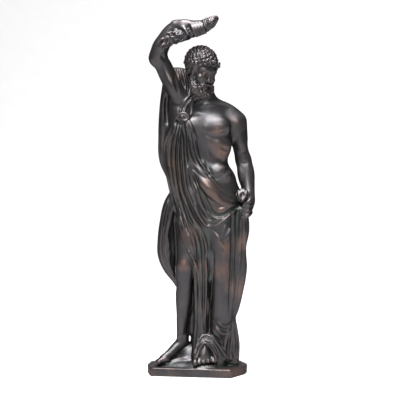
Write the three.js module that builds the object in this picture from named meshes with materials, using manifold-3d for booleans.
// A cast bronze statuette of Jupiter with his low base, about 30 cm tall. Millimetres, +Z up.
// The figure is described by soft forms that flow into one another, as wax does before casting.
// Each body region is a three.js capsule whose vertices are pushed out from its core onto those
// forms, and all regions are joined into one closed solid, because the bronze is a single casting.
import * as THREE from "three";
import { mergeVertices } from "three/addons/utils/BufferGeometryUtils.js";
import Module from "manifold-3d";

const wasm = await Module();
wasm.setup();

// Driving dimensions
const TOTAL_HEIGHT = 300;
const BASE_THICKNESS = 7;
const BASE_FRONT_LENGTH = 64;
const BASE_GREATEST_LENGTH = 83;
const BASE_DEPTH = 51;
const BASE_CORNER_RADIUS = 3;
const SUNK = 1.5; // the figure and the ground reach down into the base, to this height
const FIGURE_TURN_DEG = 9; // the figure faces this far to one side of the base's front
const FIGURE_FORWARD = 6; // the figure stands this far in front of the middle of the base
const HEAD_CENTRE = [3.5, -5, 254.5];
const HEAD_YAW_DEG = 34; // turned to the figure's left
const HEAD_NOD_DEG = 17; // and looking down
const HEAD_TILT_DEG = 7;

// How finely each region is cut into facets: around, along and over each rounded end
const TRUNK_FACETS = [52, 37, 5];
const GROUND_FACETS = [24, 1, 4];
const HEAD_FACETS = [20, 4, 4];
const ARM_FACETS = [10, 9, 2];
const CLOAK_FACETS = [12, 8, 3];
const CASCADE_FACETS = [10, 14, 2];
const BOLT_FACETS = [10, 9, 2];
const LEG_FACETS = [10, 7, 2];
const FOOT_FACETS = [10, 3, 2];
const HAND_FACETS = [8, 3, 2];
const KNOT_FACETS = [8, 1, 2];
const HUMP_FACETS = [8, 4, 2];
const DIGIT_FACETS = [5, 2, 1];

const { clamp, lerp, smoothstep, degToRad: radians } = THREE.MathUtils;
const vec = (a) => new THREE.Vector3(...a);
const curveThrough = (points) => new THREE.CatmullRomCurve3(points.map(vec), false, "centripetal");

// Forms: each is a function of a point that is negative inside and grows with distance outside

// The smooth minimum: two forms melt together over about the width given.
function melt(a, b, width) {
  const overlap = Math.max(width - Math.abs(a - b), 0) / width;
  return Math.min(a, b) - (overlap * overlap * width) / 4;
}

function together(width, ...forms) {
  return (p) => forms.reduce((d, form) => melt(d, form(p), width), 1e3);
}

// How far a point lies from an ellipsoid or ellipse, from its offset over each half width.
function ellipseGap(shares, halves) {
  const reach = Math.hypot(...shares);
  const slope = Math.hypot(...shares.map((share, axis) => share / halves[axis]));
  return slope < 1e-9 ? -Math.min(...halves) : (reach * (reach - 1)) / slope;
}

// An ellipsoid with its three half widths, turned by an optional rotation.
function ball(centre, halves, turn = [0, 0, 0]) {
  const back = new THREE.Matrix4()
    .makeRotationFromEuler(new THREE.Euler(...turn.map(radians)))
    .invert();
  const q = new THREE.Vector3();
  return (p) => {
    q.copy(p).sub(vec(centre)).applyMatrix4(back);
    return ellipseGap([q.x / halves[0], q.y / halves[1], q.z / halves[2]], halves);
  };
}

// An upright column: at each height an ellipse, given as [height, middle X and Y, half widths].
function column(stations) {
  const heights = stations.map(([height]) => height);
  const shape = new THREE.CubicInterpolant(heights, stations.flatMap(([, ...ellipse]) => ellipse), 4);
  return (p) => {
    const [x, y, wide, deep] = shape.evaluate(p.z);
    const side = ellipseGap([(p.x - x) / wide, (p.y - y) / deep], [wide, deep]);
    return Math.max(side, heights[0] - p.z, p.z - heights.at(-1));
  };
}

// A round bar whose radius changes along a smooth path.
function limb(path, radii, steps = 5) {
  const curve = curveThrough(path);
  const spans = path.length - 1;
  const count = spans * steps;
  const samples = [...Array(count + 1).keys()].map((i) => {
    const t = i / count;
    const span = Math.min(Math.floor(t * spans), spans - 1);
    const radius = lerp(radii[span], radii[span + 1], t * spans - span);
    return { at: curve.getPoint(t), radius };
  });
  return (p) => {
    let nearest = 1e3;
    for (let i = 0; i < count; i++) {
      const a = samples[i];
      const b = samples[i + 1];
      const dx = b.at.x - a.at.x;
      const dy = b.at.y - a.at.y;
      const dz = b.at.z - a.at.z;
      const px = p.x - a.at.x;
      const py = p.y - a.at.y;
      const pz = p.z - a.at.z;
      const along = (px * dx + py * dy + pz * dz) / (dx * dx + dy * dy + dz * dz);
      const s = clamp(along, 0, 1);
      const away = Math.hypot(px - s * dx, py - s * dy, pz - s * dz);
      nearest = Math.min(nearest, away - lerp(a.radius, b.radius, s));
    }
    return nearest;
  };
}

const cutFlatBelow = (form) => (p) => Math.max(form(p), SUNK - p.z);

// Folds: ridges drawn on the front or the back, as lines in X and Z

// A single ridge of cloth: height and width fade to nothing at both ends of the line.
function fold(line, width, height) {
  const curve = curveThrough(line.map(([x, z]) => [x, 0, z]));
  return { points: curve.getPoints(line.length * 4), width, height };
}

// Folds spaced evenly between two boundary lines, alternating a little in height.
function pleats(count, first, last, width, height) {
  return [...Array(count).keys()].map((i) => {
    const share = count > 1 ? i / (count - 1) : 0;
    const line = first.map(([x, z], k) => [lerp(x, last[k][0], share), lerp(z, last[k][1], share)]);
    return fold(line, width, height * (i % 2 ? 0.75 : 1));
  });
}

// The height of all the folds at a place on the front or back.
function reliefAt(folds, x, z) {
  let total = 0;
  for (const { points, width, height } of folds) {
    let nearest = 1e3;
    let place = 0;
    for (let i = 0; i + 1 < points.length; i++) {
      const a = points[i];
      const b = points[i + 1];
      const dx = b.x - a.x;
      const dz = b.z - a.z;
      const s = clamp(((x - a.x) * dx + (z - a.z) * dz) / (dx * dx + dz * dz), 0, 1);
      const away = Math.hypot(x - a.x - s * dx, z - a.z - s * dz);
      if (away < nearest) {
        nearest = away;
        place = (i + s) / (points.length - 1);
      }
    }
    const across = Math.max(1 - (nearest / width) ** 2, 0);
    const fade = Math.min(1, 6 * place, 6 * (1 - place));
    total += height * across * across * fade;
  }
  return total;
}

// A form with folds raised on its front and its back.
function draped(form, frontFolds, backFolds) {
  const softEdge = 8;
  const faraway = 12;
  return (p) => {
    const near = form(p);
    if (near > faraway) return near;
    const front = smoothstep(-p.y, -softEdge, softEdge);
    const onFront = front > 0 ? front * reliefAt(frontFolds, p.x, p.z) : 0;
    const onBack = front < 1 ? (1 - front) * reliefAt(backFolds, p.x, p.z) : 0;
    return near - onFront - onBack;
  };
}

// Skins: three.js geometry pushed out onto a form

// The distance from a point inside, along a direction, to the outermost surface of a form.
function reachOf(form, origin, direction, farthest) {
  const least = 0.4;
  const p = new THREE.Vector3();
  const at = (distance) => form(p.copy(direction).multiplyScalar(distance).add(origin));
  let outside = farthest;
  let inside = farthest;
  for (let d = at(inside); d > 0 && inside > least; d = at(inside)) {
    outside = inside;
    inside -= Math.max(0.4 * d, 0.2);
  }
  for (let halving = 0; halving < 7; halving++) {
    const middle = (inside + outside) / 2;
    if (at(middle) > 0) outside = middle;
    else inside = middle;
  }
  return Math.max(outside, least);
}

// Each pair of facets is split along the diagonal nearer to the form, so ridges stay crisp.
function splitAlongRidges(geometry, form) {
  const { position } = geometry.attributes;
  const index = geometry.index;
  const corner = (i) => new THREE.Vector3().fromBufferAttribute(position, i);
  const gap = (i, j) => Math.abs(form(corner(i).lerp(corner(j), 0.5)));
  for (let k = 0; k < index.count; k += 6) {
    const [a, b, c, d] = [0, 1, 2, 4].map((offset) => index.getX(k + offset));
    if (gap(a, d) < gap(b, c)) {
      [a, b, d, a, d, c].forEach((i, offset) => index.setX(k + offset, i));
    }
  }
}

// A capsule around a core line, with its vertices pushed out from the core onto the form.
// Crowding brings an upright skin's facets closer together at the front, where the carving is.
function skin(form, core, [around, along, ends], farthest, { upright = false, crowding = 0 } = {}) {
  const curve = curveThrough(core);
  const geometry = new THREE.CapsuleGeometry(1, 1, ends, around, along);
  const { position } = geometry.attributes;
  for (let i = 0; i < position.count; i++) {
    const height = clamp(position.getY(i), -0.5, 0.5);
    const origin = curve.getPoint(height + 0.5);
    const forward = upright ? vec([0, 0, 1]) : curve.getTangent(height + 0.5);
    const aside = Math.abs(forward.y) < 0.9 ? vec([0, 1, 0]) : vec([1, 0, 0]);
    const u = aside.cross(forward).normalize();
    const v = forward.clone().cross(u);
    const turn = Math.atan2(position.getZ(i), position.getX(i));
    const crowded = turn + crowding * Math.sin(turn);
    const wide = Math.hypot(position.getX(i), position.getZ(i));
    const direction = u
      .multiplyScalar(wide * Math.sin(crowded))
      .addScaledVector(v, wide * Math.cos(crowded))
      .addScaledVector(forward, position.getY(i) - height)
      .normalize();
    origin.addScaledVector(direction, reachOf(form, origin, direction, farthest));
    position.setXYZ(i, origin.x, origin.y, origin.z);
  }
  splitAlongRidges(geometry, form);
  return geometry;
}

// A three.js geometry as a closed solid, without the empty facets at its poles.
function solidOf(geometry) {
  const bare = geometry.clone();
  bare.deleteAttribute("normal");
  bare.deleteAttribute("uv");
  const merged = mergeVertices(bare, 1e-4);
  const facets = [];
  for (let k = 0; k < merged.index.count; k += 3) {
    const [a, b, c] = [0, 1, 2].map((offset) => merged.index.getX(k + offset));
    if (a !== b && b !== c && c !== a) facets.push(a, b, c);
  }
  const vertProperties = new Float32Array(merged.attributes.position.array);
  const mesh = new wasm.Mesh({ numProp: 3, vertProperties, triVerts: new Uint32Array(facets) });
  const solid = new wasm.Manifold(mesh);
  if (solid.volume() < 0) throw new Error("a skin is inside out");
  return solid;
}

// The bare body: chest, waist, hips, neck and the left shoulder

const torso = together(
  5,
  column([
    [134, 14, 0, 22, 14],
    [150, 14.5, 0.5, 22, 15.5],
    [165, 13, 0.5, 18.8, 14],
    [178, 9.5, 0, 16.4, 12.8],
    [190, 8.5, 0, 19.5, 14],
    [203, 8, 0.5, 21.5, 15],
    [213, 8, 1.5, 22, 13.5],
    [221, 8, 2.5, 17, 11],
    [228, 7, 2, 10.5, 9.5],
    [240, 5, 0, 8.5, 8.5],
  ]),
  limb([[14, 3, 219], [26, 3, 216.5], [33.5, 2, 210.5]], [8, 7.5, 8]),
  ball([32.8, 2, 206], [6.5, 8.6, 12]),
  ball([17, -9.5, 206], [11.5, 6.5, 8.5]),
  ball([-2, -9.5, 207], [10, 6.5, 8.5]),
  ball([14, -8, 170], [11, 6.5, 11]),
);

// The clothes: the mass gathered under the knot, the cloak hanging from the raised shoulder,
// the thigh and the left leg under their cloth, the cloth between and the cloth behind

const cloth = together(
  5,
  column([
    [134, -3, -2, 13, 13],
    [150, -6, -1, 15, 14.5],
    [165, -10, -1, 15.5, 15],
    [180, -12, -0.5, 15, 15],
    [200, -13, 0, 14, 14.5],
    [214, -13, 1, 12, 13],
    [226, -13, 4, 9.5, 10],
    [240, -14, 7, 9, 8.5],
    [250, -14, 9, 7, 7],
  ]),
  limb(
    [[-23, 8, 244], [-25.5, 8, 225], [-26.2, 8, 200], [-26, 8, 180], [-19, 7, 158]],
    [6.5, 6.4, 7, 7, 5.5],
  ),
  limb([[0, -2, 150], [-5.5, -6, 120], [-9.3, -8.5, 99], [-10.3, -8, 85]], [14, 11.2, 7.9, 6.2]),
  limb(
    [[21, 0, 150], [21, -5, 118], [22, -8, 92], [22, -6.5, 62], [20, -5, 38]],
    [14.5, 12.5, 9.3, 8.6, 8],
  ),
  limb(
    [[5, -5, 130], [4, -6, 100], [4.5, -6, 75], [4, -5, 50], [2.5, -5, 28], [2, -7, 12]],
    [12, 9.5, 8, 7, 6.5, 7],
  ),
  column([
    [0, 14, 9, 19, 11],
    [40, 14, 9, 18.5, 10.5],
    [80, 13, 8.5, 20, 12],
    [120, 9, 7, 23, 14],
    [148, 5, 4.5, 24.5, 15],
    [168, 0, 3, 21, 14],
    [192, -3, 3, 17.5, 13],
    [215, -5, 5, 12.5, 10.5],
    [236, -8, 7, 8, 8],
  ]),
  limb([[-5, 9, 120], [-5, 9, 80], [-4.5, 9, 50], [-4, 8, 36.5]], [10, 8.5, 6.8, 4.6]),
);

// The cloth heaped over the raised shoulder and behind the neck
const HUMP_CORE = [[-19, 9, 252.5], [-12, 8, 250], [-4, 8, 243], [4, 8, 230]];
const hump = limb(HUMP_CORE, [6.8, 7.4, 8.5, 9]);

// The knot that gathers the folds on the breast
const knot = ball([-10.8, -11.5, 215.5], [6.8, 5, 5]);

// The bunch of folds that hangs from the left hand to the ground
const CASCADE_CORE = [
  [38, -8, 138],
  [36.6, -8, 122],
  [35.8, -7, 107],
  [36.2, -6, 90],
  [33.5, -4, 68],
  [31, -3, 56],
  [28.8, -1, 48],
  [29.8, 0, 38],
  [30.2, 1, 25],
  [28.5, 1, 10],
];
const cascade = limb(CASCADE_CORE, [5, 6, 5.6, 6.2, 5.2, 5, 4.6, 5, 6.4, 7.4]);

// The lower end of the cloak, a swelling fold behind the right thigh
const CLOAK_CORE = [
  [-18, 9, 154],
  [-21.8, 9, 142],
  [-25, 10, 127],
  [-26.5, 10, 110],
  [-26.3, 10, 100],
  [-23.6, 10, 90],
  [-17.5, 10, 80],
];
const cloakRoll = limb(CLOAK_CORE, [5, 6.4, 6.6, 6.8, 6.8, 6.4, 4.8]);
const cloakBack = limb([[-12, 13, 150], [-14, 14, 125], [-14, 14, 100], [-9, 13, 84]], [8, 9, 8.5, 6]);

const frontFolds = [
  ...pleats(
    5,
    [[-15.7, 211], [-21, 197], [-25, 180], [-24, 164], [-20, 146]],
    [[-8, 210], [-7, 190], [-5, 170], [-1, 150], [5, 128]],
    3,
    2.4,
  ),
  fold([[-5, 212], [-3.3, 197], [-0.8, 182], [5.8, 171], [14, 160], [23, 151], [35, 145]], 4, 3.2),
  fold(
    [[-6.6, 156], [-2.5, 141], [2.5, 131], [7, 126], [12.4, 124.3], [21, 129], [27, 134], [34, 141]],
    3.6,
    3,
  ),
  fold([[0, 162], [5, 149], [11, 141], [19, 140], [34, 144]], 3.6, 2),
  ...pleats(
    2,
    [[-17, 156], [-14, 146], [-10.7, 136], [-6.6, 126], [-1.7, 109], [1.7, 92]],
    [[-12, 162], [-9, 148], [-4, 137.5], [1, 130], [8, 113], [9, 95]],
    3.6,
    2.6,
  ),
  fold(
    [[-17, 132], [-12.2, 114], [-8.4, 107.7], [-4, 101], [-1.7, 94], [1.5, 83], [3, 68], [4, 40]],
    3,
    2.6,
  ),
  fold([[11, 100], [11.5, 70], [10, 45]], 3, 1.6),
  fold([[8.3, 56], [14, 46.7], [21, 42], [26, 41], [32, 50]], 3.2, 2),
  fold([[-3.3, 13], [-0.8, 26], [4.2, 35], [10, 33], [16.6, 26], [26, 12]], 3, 3),
];

const backFolds = [
  ...pleats(
    6,
    [[-28, 236], [-29, 200], [-24, 160], [-20, 120], [-8, 82]],
    [[24, 216], [26, 190], [30, 150], [32, 90], [28, 12]],
    4.5,
    2.6,
  ),
];

const clothed = draped(together(4, torso, cloth), frontFolds, backFolds);

// The limbs, hands and feet

const RIGHT_ARM_CORE = [
  [-11, 2, 229],
  [-17.8, 2, 238.5],
  [-23.8, 2, 249],
  [-28.4, 1, 259],
  [-32.9, 0, 265.5],
  [-30, -2, 273],
  [-26.7, -4, 279],
  [-21.5, -6, 288],
  [-17, -7, 292.4],
];
const rightArm = limb(RIGHT_ARM_CORE, [8.5, 7.6, 7.2, 7.3, 7.8, 7, 6.4, 5.2, 4.6]);

const LEFT_ARM_CORE = [
  [27, 3, 214.5],
  [33, 2, 210],
  [34.6, 3, 200],
  [36.4, 4, 189],
  [38.8, 4.5, 180],
  [41, 3.5, 170],
  [42.4, 0.5, 160],
  [43.3, -4, 152],
];
const leftArm = limb(LEFT_ARM_CORE, [8.6, 7.8, 6.9, 6.7, 7, 7.2, 6.3, 5.4]);

const RIGHT_HAND_CORE = [[-17, -7, 292.2], [-11, -9, 291.4], [-3, -9.5, 289.6]];
const rightHand = limb(RIGHT_HAND_CORE, [4.6, 4.4, 4.6]);
const LEFT_HAND_CORE = [[43.3, -4, 152], [43, -7.5, 145], [40, -10, 138]];
const leftHand = limb(LEFT_HAND_CORE, [5, 5.6, 5]);

const SHIN_CORE = [
  [-9.5, -9, 100],
  [-10.4, -8, 84],
  [-11.2, -5, 68],
  [-12, -2, 50],
  [-12.8, 1, 36],
  [-12, 3, 25],
];
const shin = limb(SHIN_CORE, [7.4, 7, 6.6, 5.3, 4.5, 5]);
const RIGHT_FOOT_CORE = [[-8.5, 5, 27.5], [-15, 1, 24.2], [-22, -3, 18.5], [-29, -7, 13.4]];
const rightFoot = limb(RIGHT_FOOT_CORE, [4.8, 5.2, 4.6, 3.4]);
const LEFT_FOOT_CORE = [[7, -2, 25], [6, -9, 20], [5.5, -13.5, 15]];
const leftFoot = together(3, limb(LEFT_FOOT_CORE, [7, 6.5, 5]), ball([5.5, -13, 13.5], [8.8, 6.8, 5]));

// The thunderbolt: a twisted bundle of flames, thickest beside the hand and tapered at both ends
const BOLT_CORE = [
  [-29.5, -9, 275],
  [-24, -10, 279],
  [-19, -10.5, 281.5],
  [-12, -11, 283.2],
  [-4, -11, 286.2],
  [3, -11, 289],
  [8, -11, 291.6],
  [12.6, -11, 295],
  [15, -11, 296.6],
];
const bolt = limb(BOLT_CORE, [2, 4.2, 5.4, 5.7, 5.4, 5.8, 5.7, 4.3, 3]);

// The head in its own frame, with the face towards -Y, then turned into place
const headTurn = new THREE.Matrix4().makeRotationFromEuler(
  new THREE.Euler(radians(HEAD_NOD_DEG), radians(HEAD_TILT_DEG), radians(HEAD_YAW_DEG), "ZYX"),
);
const headBack = headTurn.clone().invert();
const onHead = (point) => vec(point).applyMatrix4(headTurn).add(vec(HEAD_CENTRE)).toArray();
const headForm = together(
  2.5,
  ball([0, 3, 5], [14.3, 15.5, 14.5]),
  ball([0, -5, -6], [9.5, 9.5, 12.5]),
  ball([0, -6.5, -16], [8.5, 7.5, 9.5]),
  ball([0, -14.6, -3.5], [1.8, 2.6, 4.6], [-14, 0, 0]),
  ball([0, -12.2, 3.4], [8, 2.6, 1.8]),
  ...[-1, 1].map((side) =>
    limb(
      [[12 * side, -2, -9], [12.5 * side, -2, 2], [8 * side, -9.5, 10.5], [0, -11.5, 12]],
      [3.4, 3.6, 3.2, 3.4],
    ),
  ),
);
const head = (() => {
  const q = new THREE.Vector3();
  return (p) => headForm(q.copy(p).sub(vec(HEAD_CENTRE)).applyMatrix4(headBack));
})();

// The outermost finger or toe on each side, from its root to its tip
const RIGHT_FOREFINGER = [[-6, -10, 293], [-5, -15, 289], [-2, -15, 283]];
const RIGHT_LITTLE_FINGER = [[2, -10, 294], [4, -15.5, 290], [6, -14, 285]];
const LEFT_FOREFINGER = [[45, -9, 147], [40, -13.5, 149], [36.5, -12.5, 146]];
const LEFT_LITTLE_FINGER = [[43, -10, 137], [38.5, -14, 136], [36, -13, 135]];
const LEFT_GREAT_TOE = [[-0.3, -13, 13.5], [-1.3, -18.5, 11.6]];
const LEFT_LITTLE_TOE = [[11, -12, 14.5], [12.3, -15.5, 13]];
const RIGHT_GREAT_TOE = [[-27, -9, 12.4], [-31.4, -10.8, 11.2]];
const RIGHT_LITTLE_TOE = [[-28.5, -4.5, 14.2], [-34.6, -5.5, 12.8]];

// Fingers and toes: short bars in a row from one side of a hand or foot to the other.
function digits(count, firstPath, lastPath, radii) {
  return [...Array(count).keys()].map((i) => {
    const share = i / (count - 1);
    const between = (point, k) => point.map((value, axis) => lerp(value, lastPath[k][axis], share));
    const path = firstPath.map(between);
    return skin(limb(path, radii), path, DIGIT_FACETS, 6);
  });
}

// The rocky ground under the feet, highest beneath the right heel
const ground = cutFlatBelow(
  together(
    5,
    ball([-6, 5, 5], [15, 12, 21]),
    ball([-8, -1.5, 3], [23, 15, 9.5]),
    ball([5, -6.5, 3], [17, 12.5, 8]),
    ball([12, 2, 2], [24, 17, 8]),
    ball([-27, -4.5, 3], [11, 9, 6.5]),
  ),
);

// The trunk's rings are spread evenly over the spans, so the short spans carry the finest folds
const TRUNK_CORE = [
  [14, 3, 14],
  [14, 2, 48],
  [12, 1, 82],
  [7, 1, 116],
  [5, 1, 138],
  [3.5, 1, 160],
  [2.5, 1, 183],
  [2, 1.5, 207],
];

function figure() {
  const regions = [
    skin(cutFlatBelow(clothed), TRUNK_CORE, TRUNK_FACETS, 52, { upright: true, crowding: 0.3 }),
    skin(ground, [[-10, -1, 4], [8, -1, 4]], GROUND_FACETS, 45),
    skin(head, [onHead([0, -3, -12]), onHead([0, 1, 6])], HEAD_FACETS, 30, { upright: true, crowding: 0.2 }),
    skin(hump, HUMP_CORE, HUMP_FACETS, 11),
    skin(knot, [[-12, -11.5, 215.5], [-9.6, -11.5, 215.5]], KNOT_FACETS, 9),
    skin(rightArm, RIGHT_ARM_CORE, ARM_FACETS, 11),
    skin(leftArm, LEFT_ARM_CORE, ARM_FACETS, 11),
    skin(cascade, CASCADE_CORE, CASCADE_FACETS, 10),
    skin(together(4, cloakRoll, cloakBack), CLOAK_CORE, CLOAK_FACETS, 26),
    skin(rightHand, RIGHT_HAND_CORE, HAND_FACETS, 9),
    skin(leftHand, LEFT_HAND_CORE, HAND_FACETS, 9),
    skin(bolt, BOLT_CORE, BOLT_FACETS, 9),
    skin(shin, SHIN_CORE, LEG_FACETS, 10),
    skin(rightFoot, RIGHT_FOOT_CORE, FOOT_FACETS, 9),
    skin(leftFoot, LEFT_FOOT_CORE, FOOT_FACETS, 12),
    ...digits(4, RIGHT_FOREFINGER, RIGHT_LITTLE_FINGER, [2, 2.1, 1.9]),
    ...digits(4, LEFT_FOREFINGER, LEFT_LITTLE_FINGER, [2, 2, 1.8]),
    ...digits(5, LEFT_GREAT_TOE, LEFT_LITTLE_TOE, [2.3, 2]),
    ...digits(5, RIGHT_GREAT_TOE, RIGHT_LITTLE_TOE, [2.1, 1.8]),
  ];
  return regions
    .map((geometry) => geometry.translate(0, -FIGURE_FORWARD, 0).rotateZ(radians(FIGURE_TURN_DEG)))
    .map(solidOf)
    .reduce((whole, region) => whole.add(region));
}

// The base: a slab with splayed ends and rounded corners.
function base() {
  const front = BASE_FRONT_LENGTH / 2;
  const end = BASE_GREATEST_LENGTH / 2;
  const half = BASE_DEPTH / 2;
  const rightHalf = [[front, -half], [end, -4], [end, 8], [front + 1, half]];
  const leftHalf = rightHalf.map(([x, y]) => [-x, y]).reverse();
  const corners = [...rightHalf, ...leftHalf].map((corner) => new THREE.Vector2(...corner));
  const outline = new THREE.Shape();
  const towards = (from, to) => to.clone().sub(from).setLength(BASE_CORNER_RADIUS).add(from);
  corners.forEach((corner, i) => {
    const arriving = towards(corner, corners.at(i - 1));
    const leaving = towards(corner, corners[(i + 1) % corners.length]);
    if (i === 0) outline.moveTo(arriving.x, arriving.y);
    else outline.lineTo(arriving.x, arriving.y);
    outline.quadraticCurveTo(corner.x, corner.y, leaving.x, leaving.y);
  });
  outline.closePath();
  const options = { depth: BASE_THICKNESS, bevelEnabled: false, curveSegments: 3 };
  return solidOf(new THREE.ExtrudeGeometry(outline, options));
}

// The finished casting

function meshOf(name, solid, material) {
  const { vertProperties, triVerts, numProp } = solid.getMesh();
  const corners = new Float32Array((vertProperties.length / numProp) * 3);
  for (let i = 0; i < corners.length / 3; i++) {
    corners.set(vertProperties.subarray(i * numProp, i * numProp + 3), i * 3);
  }
  const geometry = new THREE.BufferGeometry()
    .setAttribute("position", new THREE.BufferAttribute(corners, 3))
    .setIndex([...triVerts])
    .toNonIndexed();
  geometry.computeVertexNormals();
  const mesh = new THREE.Mesh(geometry, material);
  mesh.name = name;
  return mesh;
}

// The whole casting, brought to its full height
function casting() {
  const whole = figure().add(base());
  return whole.scale(TOTAL_HEIGHT / whole.boundingBox().max[2]);
}

const bronze = new THREE.MeshStandardMaterial({ color: 0x2e2926, roughness: 0.38, metalness: 0.9 });

const statuette = new THREE.Group();
statuette.add(meshOf("jupiter_casting", casting(), bronze));

export default statuette;
